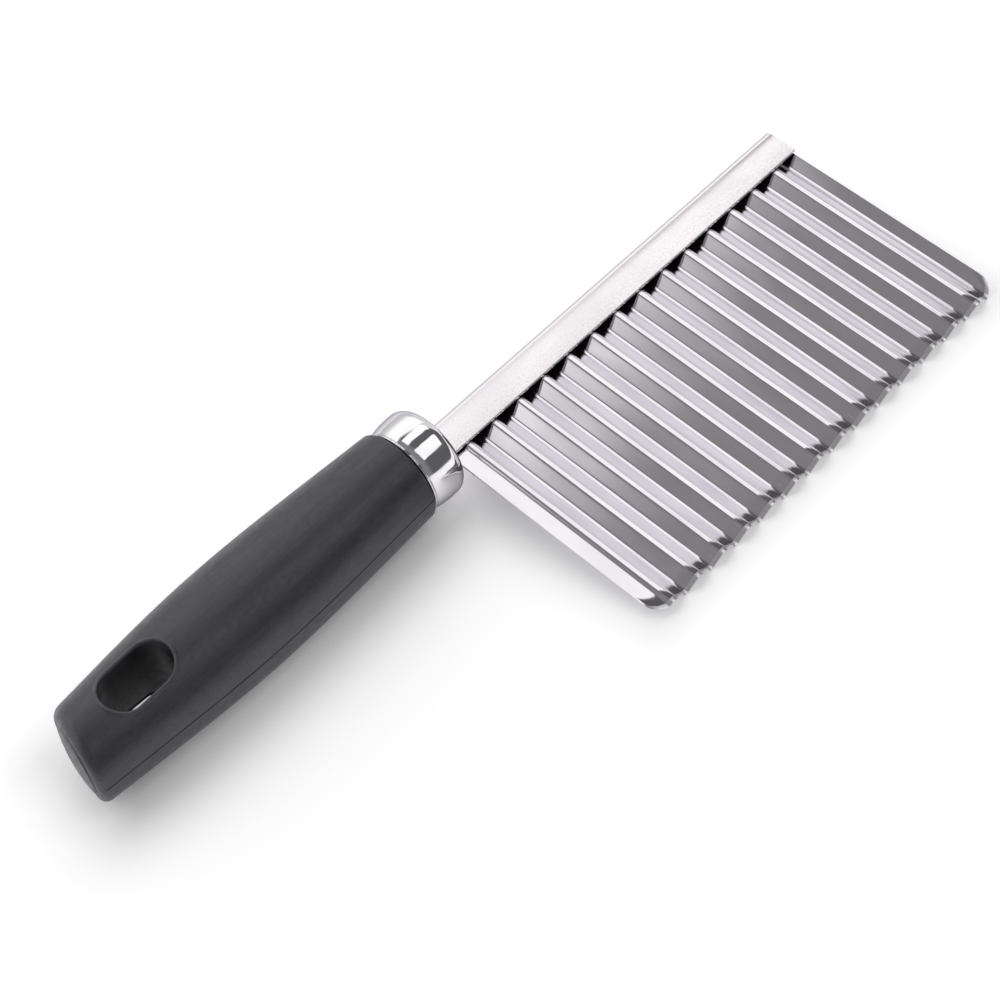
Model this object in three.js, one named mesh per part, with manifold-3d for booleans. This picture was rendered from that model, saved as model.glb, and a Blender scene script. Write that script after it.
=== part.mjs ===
// Crinkle cutter: a corrugated stainless blade held in a folded channel.
// The channel runs on through a bright collar into a moulded grip, as its tang.
// Lengths are millimetres and angles are degrees.
// The tool is drawn with the grip on the X axis, the tip towards +X, the cutting edge towards -Y
// and the face side towards +Z. It is then laid down the way it lies on a table.

import * as THREE from 'three';
import { mergeVertices } from 'three/addons/utils/BufferGeometryUtils.js';
import Module from 'manifold-3d';

const wasm = await Module();
wasm.setup();

// Driving dimensions: fits
const clearance = 0.3;              // between pieces that seat on each other

// Driving dimensions: corrugated blade
const crestCount = 14;
const wavePitch = 8;                // crest to crest
const waveDepth = 2.1;              // crest to valley, on the middle of the sheet
const waveBendRadius = 1.6;         // middle of the sheet, at each crest and valley
const bladeSheet = 0.7;
const bladeReach = 64;              // grip axis to cutting edge
const heelMargin = 4.9;             // heel end to the first crest
const heelStep = 0.55;              // drop from the first crest to the flat strip along the heel
const toeMargin = 7.2;              // last crest to the toe end
const bladeCornerRadius = 4.5;
const bevelHeight = 1;              // ground band along the cutting edge
const edgeLand = 0.16;              // thickness left at the cutting edge

// Driving dimensions: folded channel
const channelSheet = 0.8;
const channelWall = 9;              // height of each wall
const channelRise = 3;              // grip axis to the top of the fold
const foldRadius = 1.7;             // outside of the fold
const toeCornerRadius = 1.4;        // rounding of the fold's corner at the toe
const tangLength = 46;              // the part of the channel inside the grip

// Driving dimensions: collar
const collarRadius = 11;
const collarLength = 10;
const collarWall = 1.3;
const collarShoulder = 3;           // radius of the rounded front

// Driving dimensions: grip
const gripLength = 93;              // shoulder at the collar to the middle of the butt
const shoulderRadius = 11.2;
const shoulderEdge = 0.7;           // rounding where the grip meets the collar
const bellyFromShoulder = 47;
const bellyHalfWidth = 13.3;
const bellyHalfThickness = 12;
const buttHalfWidth = 10.5;
const buttHalfThickness = 10;
const buttEdgeRadius = 2.6;
const buttEdgeTurn = 65;            // the rim's rounding turns this far, then the face begins
const buttDome = 1.2;               // rise of the butt's face past its rounded rim
const buttSlant = 13;               // the butt leans back towards the cutting edge side
const buttSlantReach = 34;          // length of grip over which the slant dies out
const sideEase = 0.8;               // 0 is a plain parabola from the belly, 1 levels off at the ends
const hangHoleLength = 17.5;
const hangHoleWidth = 10.5;
const hangHoleFromButt = 19;        // middle of the hole to the middle of the butt

// Facets
const bendSteps = 3;                // half of a bend
const flankSteps = 3;
const gripSides = 56;
const gripStations = 20;
const domeSteps = 4;
const roundSteps = 5;               // quarter of a small rounding
const collarSides = 72;

// Places along X, from the grip's shoulder
const collarBack = clearance;
const collarFront = collarBack + collarLength;
const heelX = collarFront + clearance;
const firstCrestX = heelX + heelMargin;
const toeX = firstCrestX + (crestCount - 1) * wavePitch + toeMargin;
const spigotRadius = collarRadius - collarWall - clearance;
const spigotEnd = collarFront - collarWall - clearance;

// Places across the blade
const edgeY = -bladeReach;
const bladeTopY = channelRise - channelSheet - clearance;
const wallBottomY = channelRise - channelWall;
const innerHalf = waveDepth / 2 + bladeSheet / 2 + clearance;
const outerHalf = innerHalf + channelSheet;

const radians = THREE.MathUtils.degToRad;
const steps = (count) => Array.from({ length: count + 1 }, (_, step) => step / count);

// Solids and cuts

function geometryFrom(points, triangles) {
  const geometry = new THREE.BufferGeometry();
  geometry.setFromPoints(points);
  geometry.setIndex(triangles.flat());
  return geometry;
}

function solidOf(geometry) {
  const bare = geometry.clone();
  bare.deleteAttribute('normal');
  bare.deleteAttribute('uv');
  const merged = mergeVertices(bare);
  const corners = merged.getIndex().array;
  const triVerts = [];
  for (let first = 0; first < corners.length; first += 3) {
    const [a, b, c] = corners.slice(first, first + 3);
    if (a !== b && b !== c && c !== a) triVerts.push(a, b, c);
  }
  return new wasm.Manifold(new wasm.Mesh({
    numProp: 3,
    vertProperties: new Float32Array(merged.getAttribute('position').array),
    triVerts: new Uint32Array(triVerts),
  }));
}

function geometryOf(solid) {
  const mesh = solid.getMesh();
  const geometry = new THREE.BufferGeometry();
  geometry.setAttribute('position', new THREE.BufferAttribute(mesh.vertProperties, 3));
  geometry.setIndex(new THREE.BufferAttribute(mesh.triVerts, 1));
  return geometry;
}

// Two triangles whose corners run anticlockwise, seen from outside
function quad(triangles, a, b, c, d) {
  triangles.push([a, b, c], [a, c, d]);
}

// Skin over rings of equal point counts that follow each other along X, closed by a point at each end
function loft(rings, startPoint, endPoint) {
  const sides = rings[0].length;
  const points = [startPoint, ...rings.flat(), endPoint];
  const end = points.length - 1;
  const lastRing = rings.length - 1;
  const at = (ring, side) => 1 + ring * sides + (side % sides);
  const triangles = [];
  for (let side = 0; side < sides; side++) {
    triangles.push([0, at(0, side + 1), at(0, side)]);
    for (let ring = 0; ring < lastRing; ring++) {
      quad(triangles, at(ring, side), at(ring, side + 1), at(ring + 1, side + 1), at(ring + 1, side));
    }
    triangles.push([at(lastRing, side), at(lastRing, side + 1), end]);
  }
  return geometryFrom(points, triangles);
}

// Lays a section that is drawn in X and Y, and extruded along Z, into Y and Z, and runs it along X
const alongX = new THREE.Matrix4().makeBasis(
  new THREE.Vector3(0, 1, 0),
  new THREE.Vector3(0, 0, 1),
  new THREE.Vector3(1, 0, 0),
);

// The space that the channel needs in the collar and in the grip
function channelPocket(fromX, toX) {
  const pocket = new THREE.BoxGeometry(
    toX - fromX,
    channelWall + 2 * clearance,
    2 * (outerHalf + clearance),
  );
  pocket.translate((fromX + toX) / 2, (channelRise + wallBottomY) / 2, 0);
  return solidOf(pocket);
}

// Corrugated blade: a zigzag with straight flanks and an arc at each crest and valley

const halfPitch = wavePitch / 2;
const flankRise = waveDepth - 2 * waveBendRadius;
const flankAngle = Math.atan2(flankRise, halfPitch)
  + Math.asin(2 * waveBendRadius / Math.hypot(halfPitch, flankRise));
const bendReach = waveBendRadius * Math.sin(flankAngle);

// The sheet rises from the flat strip along the heel to the first crest in two equal arcs
const heelTurn = Math.min(flankAngle, Math.acos(1 - heelStep / (2 * waveBendRadius)));
const heelReach = waveBendRadius * Math.sin(heelTurn);
const heelLevel = waveDepth / 2 - 2 * waveBendRadius * (1 - Math.cos(heelTurn));

// Height of the middle of the sheet, and the way it leans, at one place along X
function waveAt(x) {
  const crestX = firstCrestX + wavePitch * Math.max(0, Math.round((x - firstCrestX) / wavePitch));
  const side = Math.sign(x - crestX);
  const fromCrest = Math.abs(x - crestX);
  if (x < firstCrestX && fromCrest > heelReach) {
    const lean = Math.asin(Math.max(0, 2 * heelReach - fromCrest) / waveBendRadius);
    return { z: heelLevel + waveBendRadius * (1 - Math.cos(lean)), lean: -lean };
  }
  const fromValley = halfPitch - fromCrest;
  if (Math.min(fromCrest, fromValley) >= bendReach) {
    return { z: (halfPitch / 2 - fromCrest) * Math.tan(flankAngle), lean: side * flankAngle };
  }
  const up = fromCrest < fromValley ? 1 : -1;
  const lean = Math.asin(Math.min(fromCrest, fromValley) / waveBendRadius);
  const z = up * (flankRise / 2 + waveBendRadius * Math.cos(lean));
  return { z, lean: side * lean };
}

function waveStations() {
  const places = [heelX, toeX];
  for (let half = 0; half <= 2 * crestCount; half++) {
    const bendX = firstCrestX + half * halfPitch;
    for (let step = -bendSteps; step <= bendSteps; step++) {
      places.push(bendX + waveBendRadius * Math.sin(flankAngle * step / bendSteps));
    }
    for (let step = 1; step < flankSteps; step++) {
      places.push(bendX + bendReach + (halfPitch - 2 * bendReach) * step / flankSteps);
    }
  }
  for (const share of steps(bendSteps)) {
    places.push(firstCrestX - 2 * heelReach + waveBendRadius * Math.sin(heelTurn * share));
  }
  for (const share of steps(roundSteps)) {
    const inset = bladeCornerRadius * (1 - Math.cos(share * Math.PI / 2));
    places.push(heelX + inset, toeX - inset);
  }
  const inside = places.filter((x) => x >= heelX && x <= toeX).sort((a, b) => a - b);
  return inside.filter((x, place) => place === 0 || x - inside[place - 1] > bladeSheet / 100);
}

// The lower outline, with its two rounded corners
function edgeAt(x) {
  const inset = Math.max(0, bladeCornerRadius - Math.min(x - heelX, toeX - x));
  return edgeY + bladeCornerRadius - Math.sqrt(bladeCornerRadius ** 2 - inset ** 2);
}

function bladeGeometry() {
  const places = waveStations();
  const rows = [
    { y: () => bladeTopY, half: bladeSheet / 2 },
    { y: (x) => edgeAt(x) + bevelHeight, half: bladeSheet / 2 },
    { y: (x) => edgeAt(x), half: edgeLand / 2 },
  ];
  const points = [];
  for (const face of [1, -1]) {
    for (const row of rows) {
      for (const x of places) {
        const { z, lean } = waveAt(x);
        const offset = face * row.half;
        points.push(new THREE.Vector3(x + offset * Math.sin(lean), row.y(x), z + offset * Math.cos(lean)));
      }
    }
  }
  const lastRow = rows.length - 1;
  const toe = places.length - 1;
  const front = (row, place) => row * places.length + place;
  const back = (row, place) => (rows.length + row) * places.length + place;
  const triangles = [];
  for (let place = 0; place < toe; place++) {
    const next = place + 1;
    for (let row = 0; row < lastRow; row++) {
      quad(triangles, front(row, place), front(row + 1, place), front(row + 1, next), front(row, next));
      quad(triangles, back(row, place), back(row, next), back(row + 1, next), back(row + 1, place));
    }
    quad(triangles, front(0, place), front(0, next), back(0, next), back(0, place));
    quad(triangles, front(lastRow, place), back(lastRow, place), back(lastRow, next), front(lastRow, next));
  }
  for (let row = 0; row < lastRow; row++) {
    quad(triangles, front(row, 0), back(row, 0), back(row + 1, 0), front(row + 1, 0));
    quad(triangles, front(row, toe), front(row + 1, toe), back(row + 1, toe), back(row, toe));
  }
  return geometryFrom(points, triangles);
}

// Folded channel: a U section, open towards the cutting edge, whose inner end is the tang

function channelGeometry() {
  const quarter = Math.PI / 2;
  const bendY = channelRise - foldRadius;
  const bendZ = outerHalf - foldRadius;
  const innerFold = Math.max(0, foldRadius - channelSheet);
  const section = new THREE.Shape();
  section.moveTo(wallBottomY, -outerHalf);
  section.lineTo(bendY, -outerHalf);
  section.absarc(bendY, -bendZ, foldRadius, -quarter, 0, false);
  section.absarc(bendY, bendZ, foldRadius, 0, quarter, false);
  section.lineTo(wallBottomY, outerHalf);
  section.lineTo(wallBottomY, innerHalf);
  section.absarc(bendY, bendZ, innerFold, quarter, 0, true);
  section.absarc(bendY, -bendZ, innerFold, 0, -quarter, true);
  section.lineTo(wallBottomY, -innerHalf);
  const depth = tangLength + toeX;
  const lastRow = 2;
  const geometry = new THREE.ExtrudeGeometry(section, {
    depth,
    steps: lastRow,
    bevelEnabled: false,
    curveSegments: roundSteps,
  });
  // The middle row of corners goes to the heel, where the tang ends and the bare walls begin.
  // The last row is set back at the fold, which rounds the corner at the toe.
  const corners = geometry.getAttribute('position');
  for (let corner = 0; corner < corners.count; corner++) {
    const row = Math.round(lastRow * corners.getZ(corner) / depth);
    const over = THREE.MathUtils.clamp(corners.getX(corner) - channelRise + toeCornerRadius, 0, toeCornerRadius);
    const inset = toeCornerRadius - Math.sqrt(toeCornerRadius ** 2 - over ** 2);
    if (row === lastRow) corners.setZ(corner, depth - inset);
    else if (row > 0) corners.setZ(corner, tangLength + heelX);
  }
  geometry.translate(0, 0, -tangLength);
  return geometry.applyMatrix4(alongX);
}

// Collar: a drawn cap over the grip's spigot, with a slot for the channel

function collarGeometry() {
  const boreRadius = collarRadius - collarWall;
  const faceInside = collarFront - collarWall;
  const shoulder = steps(roundSteps).map((turn) => new THREE.Vector2(
    collarRadius - collarShoulder + collarShoulder * Math.cos(turn * Math.PI / 2),
    collarFront - collarShoulder + collarShoulder * Math.sin(turn * Math.PI / 2),
  ));
  const insideRadius = Math.max(0, collarShoulder - collarWall);
  const inside = steps(roundSteps).map((turn) => new THREE.Vector2(
    boreRadius - insideRadius + insideRadius * Math.sin(turn * Math.PI / 2),
    faceInside - insideRadius + insideRadius * Math.cos(turn * Math.PI / 2),
  ));
  const profile = [
    new THREE.Vector2(0, faceInside),
    ...inside,
    new THREE.Vector2(boreRadius, collarBack),
    new THREE.Vector2(collarRadius, collarBack),
    ...shoulder,
    new THREE.Vector2(0, collarFront),
  ];
  const cap = new THREE.LatheGeometry(profile, collarSides).rotateZ(-Math.PI / 2);
  const slot = channelPocket(spigotEnd, collarFront + collarWall);
  return geometryOf(solidOf(cap).subtract(slot));
}

// Grip: oval sections that swell to a belly, a domed butt, and a spigot under the collar

const buttRimEnd = -gripLength + buttDome;
const buttRimX = buttRimEnd + buttEdgeRadius * Math.sin(radians(buttEdgeTurn));

function gripHalf(x, shoulder, belly, butt) {
  const ahead = x + bellyFromShoulder;
  const end = ahead > 0 ? shoulder : butt;
  const reach = ahead > 0 ? bellyFromShoulder : gripLength - bellyFromShoulder;
  const share = Math.abs(ahead) / reach;
  return belly - (belly - end) * share ** 2 * (1 + sideEase - sideEase * share);
}

function ovalRing(x, halfWidth, halfThickness) {
  const fade = THREE.MathUtils.clamp((buttRimX + buttSlantReach - x) / buttSlantReach, 0, 1) ** 2;
  const slant = fade * Math.tan(radians(buttSlant));
  return steps(gripSides).slice(1).map((turn) => {
    const y = halfWidth * Math.cos(2 * Math.PI * turn);
    const z = halfThickness * Math.sin(2 * Math.PI * turn);
    return new THREE.Vector3(x + slant * y, y, z);
  });
}

function gripRing(x, inset) {
  const halfWidth = gripHalf(x, shoulderRadius, bellyHalfWidth, buttHalfWidth);
  const halfThickness = gripHalf(x, shoulderRadius, bellyHalfThickness, buttHalfThickness);
  return ovalRing(x, halfWidth - inset, halfThickness - inset);
}

function buttRings() {
  const rimInset = buttEdgeRadius * (1 - Math.cos(radians(buttEdgeTurn)));
  const rimWidth = gripHalf(buttRimX, shoulderRadius, bellyHalfWidth, buttHalfWidth);
  const rimThickness = gripHalf(buttRimX, shoulderRadius, bellyHalfThickness, buttHalfThickness);
  const face = steps(domeSteps).slice(1, -1).map((share) => ovalRing(
    buttRimEnd - buttDome * (1 - share ** 2),
    share * (rimWidth - rimInset),
    share * (rimThickness - rimInset),
  ));
  const rim = steps(roundSteps).slice(0, -1).map((share) => {
    const turn = radians(buttEdgeTurn) * (1 - share);
    const inset = buttEdgeRadius * (1 - Math.cos(turn));
    const x = buttRimX - buttEdgeRadius * Math.sin(turn);
    return ovalRing(x, rimWidth - inset, rimThickness - inset);
  });
  return [...face, ...rim];
}

function hangHole() {
  const endRadius = hangHoleWidth / 2;
  const halfStraight = (hangHoleLength - hangHoleWidth) / 2;
  const quarter = Math.PI / 2;
  const outline = new THREE.Shape();
  outline.absarc(halfStraight, 0, endRadius, -quarter, quarter, false);
  outline.absarc(-halfStraight, 0, endRadius, quarter, 3 * quarter, false);
  const throughGrip = 4 * bellyHalfThickness;
  const hole = new THREE.ExtrudeGeometry(outline, {
    depth: throughGrip,
    bevelEnabled: false,
    curveSegments: 2 * roundSteps,
  });
  hole.translate(hangHoleFromButt - gripLength, 0, -throughGrip / 2);
  return solidOf(hole);
}

function gripGeometry() {
  const sideLength = -shoulderEdge - buttRimX;
  const side = steps(gripStations).map((share) => gripRing(buttRimX + share * sideLength, 0));
  const shoulder = steps(roundSteps).slice(1).map((share) => gripRing(
    shoulderEdge * (Math.sin(share * Math.PI / 2) - 1),
    shoulderEdge * (1 - Math.cos(share * Math.PI / 2)),
  ));
  const spigotEdge = Math.max(0, collarShoulder - collarWall - clearance);
  const spigot = steps(roundSteps).map((share) => {
    const radius = spigotRadius - spigotEdge * (1 - Math.cos(share * Math.PI / 2));
    return ovalRing(spigotEnd - spigotEdge * (1 - Math.sin(share * Math.PI / 2)), radius, radius);
  });
  const rings = [
    ...buttRings(),
    ...side,
    ...shoulder,
    ovalRing(0, spigotRadius, spigotRadius),
    ...spigot,
  ];
  const body = loft(rings, new THREE.Vector3(-gripLength, 0, 0), new THREE.Vector3(spigotEnd, 0, 0));
  const pocket = channelPocket(-tangLength - clearance, collarFront);
  return geometryOf(solidOf(body).subtract(pocket).subtract(hangHole()));
}

// The tool, lying on the belly of its grip and on its cutting edge

function restAngle() {
  const valleyDrop = waveDepth / 2 + edgeLand / 2;
  const passes = 10;
  let angle = 0;
  for (let pass = 0; pass < passes; pass++) {
    const gripDrop = Math.hypot(bellyHalfWidth * Math.sin(angle), bellyHalfThickness * Math.cos(angle));
    angle = Math.asin((gripDrop - valleyDrop * Math.cos(angle)) / bladeReach);
  }
  return angle;
}

function piece(name, geometry, color, roughness, metalness) {
  const mesh = new THREE.Mesh(geometry, new THREE.MeshStandardMaterial({ color, roughness, metalness }));
  mesh.name = name;
  return mesh;
}

const tool = new THREE.Group();
tool.add(
  piece('grip', gripGeometry(), 0x2f2e33, 0.5, 0),
  piece('collar', collarGeometry(), 0xd9d8dc, 0.07, 1),
  piece('channel', channelGeometry(), 0xe4dfdf, 0.2, 1),
  piece('blade', bladeGeometry(), 0xd3d4d9, 0.1, 1),
);
tool.rotation.x = restAngle();

const crinkleCutter = new THREE.Group();
crinkleCutter.add(tool);
crinkleCutter.updateMatrixWorld(true);
const laid = new THREE.Box3().setFromObject(tool, true);
tool.position.set(-(laid.min.x + laid.max.x) / 2, -(laid.min.y + laid.max.y) / 2, -laid.min.z);

export default crinkleCutter;
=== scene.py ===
import math

import bmesh
import bpy
from mathutils import Matrix, Vector


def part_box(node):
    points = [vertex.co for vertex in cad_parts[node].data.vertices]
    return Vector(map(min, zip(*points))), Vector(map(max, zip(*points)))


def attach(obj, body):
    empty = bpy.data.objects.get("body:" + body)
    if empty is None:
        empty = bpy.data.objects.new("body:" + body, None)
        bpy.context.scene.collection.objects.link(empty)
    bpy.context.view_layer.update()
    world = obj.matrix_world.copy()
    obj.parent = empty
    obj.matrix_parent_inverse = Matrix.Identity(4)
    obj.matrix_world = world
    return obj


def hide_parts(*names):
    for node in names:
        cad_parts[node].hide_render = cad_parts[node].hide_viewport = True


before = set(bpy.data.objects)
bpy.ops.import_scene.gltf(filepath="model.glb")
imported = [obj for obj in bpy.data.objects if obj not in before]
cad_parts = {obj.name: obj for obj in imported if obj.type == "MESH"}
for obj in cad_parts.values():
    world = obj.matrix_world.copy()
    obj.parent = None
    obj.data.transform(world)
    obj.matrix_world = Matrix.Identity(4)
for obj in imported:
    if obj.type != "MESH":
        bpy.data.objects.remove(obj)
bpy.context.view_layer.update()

# Crinkle cutter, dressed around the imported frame.
# Lengths are millimetres in the tool's own frame until a piece is laid down.
# There the grip lies on the X axis, with the tip towards +X, the cutting edge towards -Y
# and the face side towards +Z.

MM = 0.001

# Dimensions that repeat the CAD model
CLEARANCE = 0.3
CREST_COUNT = 14
WAVE_PITCH = 8
WAVE_DEPTH = 2.1
BEND_RADIUS = 1.6
BLADE_SHEET = 0.7
BLADE_REACH = 64
HEEL_MARGIN = 4.9
HEEL_STEP = 0.55
TOE_MARGIN = 7.2
BLADE_CORNER = 4.5
BEVEL_HEIGHT = 1
EDGE_LAND = 0.16
CHANNEL_SHEET = 0.8
CHANNEL_WALL = 9
CHANNEL_RISE = 3
FOLD_RADIUS = 1.7
TOE_CORNER = 1.4
TANG_LENGTH = 46
COLLAR_RADIUS = 11
COLLAR_LENGTH = 10
COLLAR_WALL = 1.3
COLLAR_SHOULDER = 3
GRIP_LENGTH = 93
SHOULDER_RADIUS = 11.2
SHOULDER_EDGE = 0.7
BELLY_FROM_SHOULDER = 47
BELLY_HALF_WIDTH = 13.3
BELLY_HALF_THICKNESS = 12
BUTT_HALF_WIDTH = 10.5
BUTT_HALF_THICKNESS = 10
BUTT_EDGE_RADIUS = 2.6
BUTT_EDGE_TURN = math.radians(65)
BUTT_DOME = 1.2
BUTT_SLANT = math.tan(math.radians(13))
BUTT_SLANT_REACH = 34
SIDE_EASE = 0.8
HOLE_LENGTH = 17.5
HOLE_WIDTH = 10.5
HOLE_FROM_BUTT = 19

# Dimensions of the details that only the dressed model has
PARTING_DEPTH = 0.16
PARTING_HALF_WIDTH = 0.22
PARTING_TURN = math.radians(12)
LIP_RADIUS = 0.5
LIP_OUTSIDE = 0.3
LIP_SUNK = 0.15
GATE_RADIUS = 1.1
GATE_DEPTH = 1.2
GATE_TAPER = 0.6
GATE_Y = 2.2
FACE_GROOVE_DEPTH = 0.5
FACE_GROOVE_AT = 0.88
FACE_GROOVE_HALF = 0.08
COLLAR_CROWN = 0.7
COLLAR_CROWN_POWER = 3
COLLAR_RIM = 0.35
COLLAR_RIM_RISE = 0.3
COLLAR_RIM_SPAN = 2.2 * COLLAR_RIM
CUT_EDGE_RADIUS = 0.2
SHEET_RIPPLE = 0.05
SHARP_ANGLE = math.radians(32)
CUT_PAST = 1

# Wear at the edges, whole up to the first distance and gone at the second
HOLE_RIM_WEAR = (0.2, 1.6)
BUTT_RIM_WEAR = (0.3, 2.2)
SHOULDER_WEAR = (0, 1.2)
COLLAR_RIM_WEAR = (0.2, 1.0)
COLLAR_SLOT_WEAR = (0.3, 1.2)
WALL_EDGE_WEAR = (0, 0.8)
CHANNEL_TOE_WEAR = (0, 1.5)
BLADE_EDGE_WEAR = (0.5, 6)

# Where the grip and collar wear, how much of it their softer edges get, and how deep the painted shade
# in the hang hole reaches
HOLE_SHADE_DEPTH = 4
HOLE_RIM_HEIGHT = 5
BUTT_WEAR_FROM_END = 0.8
BUTT_WEAR_SHARE = 0.8
SHOULDER_WEAR_SHARE = 0.6
SLOT_WEAR_DEPTH = 1

# How finely the shapes are divided, and how many rounds the two solvers take
REST_ROUNDS = 10
SURFACE_ROUNDS = 6
GRIP_SIDES = 192
PARTING_CLEAR = 1.5
GRIP_STATIONS = 100
DOME_STEPS = 12
RIM_STEPS = 12
ROUND_STEPS = 5
HOLE_STEPS = 24
HOLE_LEVELS = 36
LIP_SIDES = 14
GATE_SIDES = 20
COLLAR_SIDES = 144
COLLAR_BORE_STEPS = 10
COLLAR_RIM_STEPS = 8
COLLAR_BARREL_STEPS = 12
COLLAR_SHOULDER_STEPS = 20
FOLD_STEPS = 12
CUT_EDGE_STEPS = 4
BEND_STEPS = 8
FLANK_STEPS = 6
CORNER_STEPS = 9
CLOSEST_STATIONS = BLADE_SHEET / 50
BLADE_ROWS = 20

# Places that follow from the dimensions
COLLAR_BACK = CLEARANCE
COLLAR_FRONT = COLLAR_BACK + COLLAR_LENGTH
HEEL_X = COLLAR_FRONT + CLEARANCE
FIRST_CREST_X = HEEL_X + HEEL_MARGIN
TOE_X = FIRST_CREST_X + (CREST_COUNT - 1) * WAVE_PITCH + TOE_MARGIN
SPIGOT_RADIUS = COLLAR_RADIUS - COLLAR_WALL - CLEARANCE
SPIGOT_END = COLLAR_FRONT - COLLAR_WALL - CLEARANCE
BLADE_TOP = CHANNEL_RISE - CHANNEL_SHEET - CLEARANCE
WALL_BOTTOM = CHANNEL_RISE - CHANNEL_WALL
INNER_HALF = WAVE_DEPTH / 2 + BLADE_SHEET / 2 + CLEARANCE
OUTER_HALF = INNER_HALF + CHANNEL_SHEET
BUTT_RIM_END = -GRIP_LENGTH + BUTT_DOME
BUTT_RIM_X = BUTT_RIM_END + BUTT_EDGE_RADIUS * math.sin(BUTT_EDGE_TURN)
HOLE_X = HOLE_FROM_BUTT - GRIP_LENGTH


def rest_angle():
    """How far the tool leans when it lies on the belly of its grip and on its cutting edge."""
    valley_drop = WAVE_DEPTH / 2 + EDGE_LAND / 2
    angle = 0
    for _ in range(REST_ROUNDS):
        width_drop = BELLY_HALF_WIDTH * math.sin(angle)
        thickness_drop = BELLY_HALF_THICKNESS * math.cos(angle)
        grip_drop = math.hypot(width_drop, thickness_drop)
        angle = math.asin((grip_drop - valley_drop * math.cos(angle)) / BLADE_REACH)
    return angle


def tool_matrix():
    """Where the tool's own frame lies: the collar is round, so its box is centred on the grip's axis."""
    low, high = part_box("collar")
    middle = (low + high) / 2
    origin = Vector((low.x - COLLAR_BACK * MM, middle.y, middle.z))
    return Matrix.Translation(origin) @ Matrix.Rotation(rest_angle(), 4, "X")


TOOL = tool_matrix()

# Mesh helpers


def shares(count):
    return [step / count for step in range(count + 1)]


def smooth(low, high, value):
    share = min(1, max(0, (value - low) / (high - low)))
    return share * share * (3 - 2 * share)


def near_edge(reach, distance):
    return 1 - smooth(*reach, distance)


def arc(middle_a, middle_b, radius, start, end, count):
    """Points of an arc in a plane, from one angle in degrees to another."""
    points = []
    for share in shares(count):
        turn = math.radians(start + (end - start) * share)
        points.append((middle_a + radius * math.cos(turn), middle_b + radius * math.sin(turn)))
    return points


def loft(rings, start=None, end=None, looped=False):
    """Skin over rings of equal counts. Each end stays open, closes on a point, or gets one face."""
    sides = len(rings[0])
    points = [point for ring in rings for point in ring]
    faces = []
    for ring in range(len(rings) if looped else len(rings) - 1):
        following = (ring + 1) % len(rings)
        for side in range(sides):
            beside = (side + 1) % sides
            near = (ring * sides + side, ring * sides + beside)
            far = (following * sides + beside, following * sides + side)
            faces.append(near + far)
    for close, ring in ((start, 0), (end, len(rings) - 1)):
        rim = [ring * sides + side for side in range(sides)]
        if close == "face":
            faces.append(tuple(rim))
        elif close is not None:
            tip = len(points)
            points.append(close)
            faces.extend((tip, rim[side], rim[(side + 1) % sides]) for side in range(sides))
    return points, faces


def add_piece(name, points, faces):
    mesh = bpy.data.meshes.new(name)
    mesh.from_pydata([Vector(point) * MM for point in points], [], faces)
    work = bmesh.new()
    work.from_mesh(mesh)
    bmesh.ops.recalc_face_normals(work, faces=work.faces)
    work.to_mesh(mesh)
    work.free()
    piece = bpy.data.objects.new(name, mesh)
    bpy.context.scene.collection.objects.link(piece)
    return piece


def combine(piece, other, operation):
    """Joins the other solid to the piece, or cuts it out of the piece, and drops it."""
    step = piece.modifiers.new(operation, "BOOLEAN")
    step.operation = operation
    step.solver = "EXACT"
    step.object = other
    shaped = piece.evaluated_get(bpy.context.evaluated_depsgraph_get())
    piece.data = bpy.data.meshes.new_from_object(shaped)
    piece.modifiers.clear()
    bpy.data.objects.remove(other)


def lathe(profile, sides):
    """Turns a profile of (radius, x) points, which starts and ends on the axis, about the X axis."""
    rings = []
    for radius, x in profile[1:-1]:
        turns = [2 * math.pi * side / sides for side in range(sides)]
        rings.append([(x, radius * math.cos(turn), radius * math.sin(turn)) for turn in turns])
    return loft(rings, (profile[0][1], 0, 0), (profile[-1][1], 0, 0))


def box_solid(low, high):
    corners = [(low[1], low[2]), (high[1], low[2]), (high[1], high[2]), (low[1], high[2])]
    rings = [[(x, y, z) for y, z in corners] for x in (low[0], high[0])]
    return add_piece("cutter", *loft(rings, "face", "face"))


def tang_space(from_x, to_x):
    low = (from_x, WALL_BOTTOM - CLEARANCE, -OUTER_HALF - CLEARANCE)
    high = (to_x, CHANNEL_RISE + CLEARANCE, OUTER_HALF + CLEARANCE)
    return box_solid(low, high)


def settle(piece, node, materials, wear_and_shade):
    """Stores where each point lies on the tool, lays the piece down, and hands it to the frame."""
    mesh = piece.data
    places = [vertex.co / MM for vertex in mesh.vertices]
    tool = mesh.attributes.new("tool", "FLOAT_VECTOR", "POINT")
    tool.data.foreach_set("vector", [value for place in places for value in place])
    # The wear attribute also carries painted shade, as values below zero, on the walls of the grip's
    # hang hole.
    worn = mesh.attributes.new("wear_and_shade", "FLOAT", "POINT")
    worn.data.foreach_set("value", [wear_and_shade(place) for place in places])
    mesh.transform(TOOL)
    mesh.shade_smooth()
    mesh.set_sharp_from_angle(angle=SHARP_ANGLE)
    for index, material in enumerate(materials):
        if index < len(mesh.materials):
            mesh.materials[index] = material
        else:
            mesh.materials.append(material)
    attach(piece, "root")
    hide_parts(node)


# Grip


def grip_half(x, shoulder, belly, butt):
    ahead = x + BELLY_FROM_SHOULDER
    end = shoulder if ahead > 0 else butt
    reach = BELLY_FROM_SHOULDER if ahead > 0 else GRIP_LENGTH - BELLY_FROM_SHOULDER
    share = abs(ahead) / reach
    return belly - (belly - end) * share ** 2 * (1 + SIDE_EASE - SIDE_EASE * share)


def grip_width(x):
    return grip_half(x, SHOULDER_RADIUS, BELLY_HALF_WIDTH, BUTT_HALF_WIDTH)


def grip_thickness(x):
    return grip_half(x, SHOULDER_RADIUS, BELLY_HALF_THICKNESS, BUTT_HALF_THICKNESS)


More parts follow.
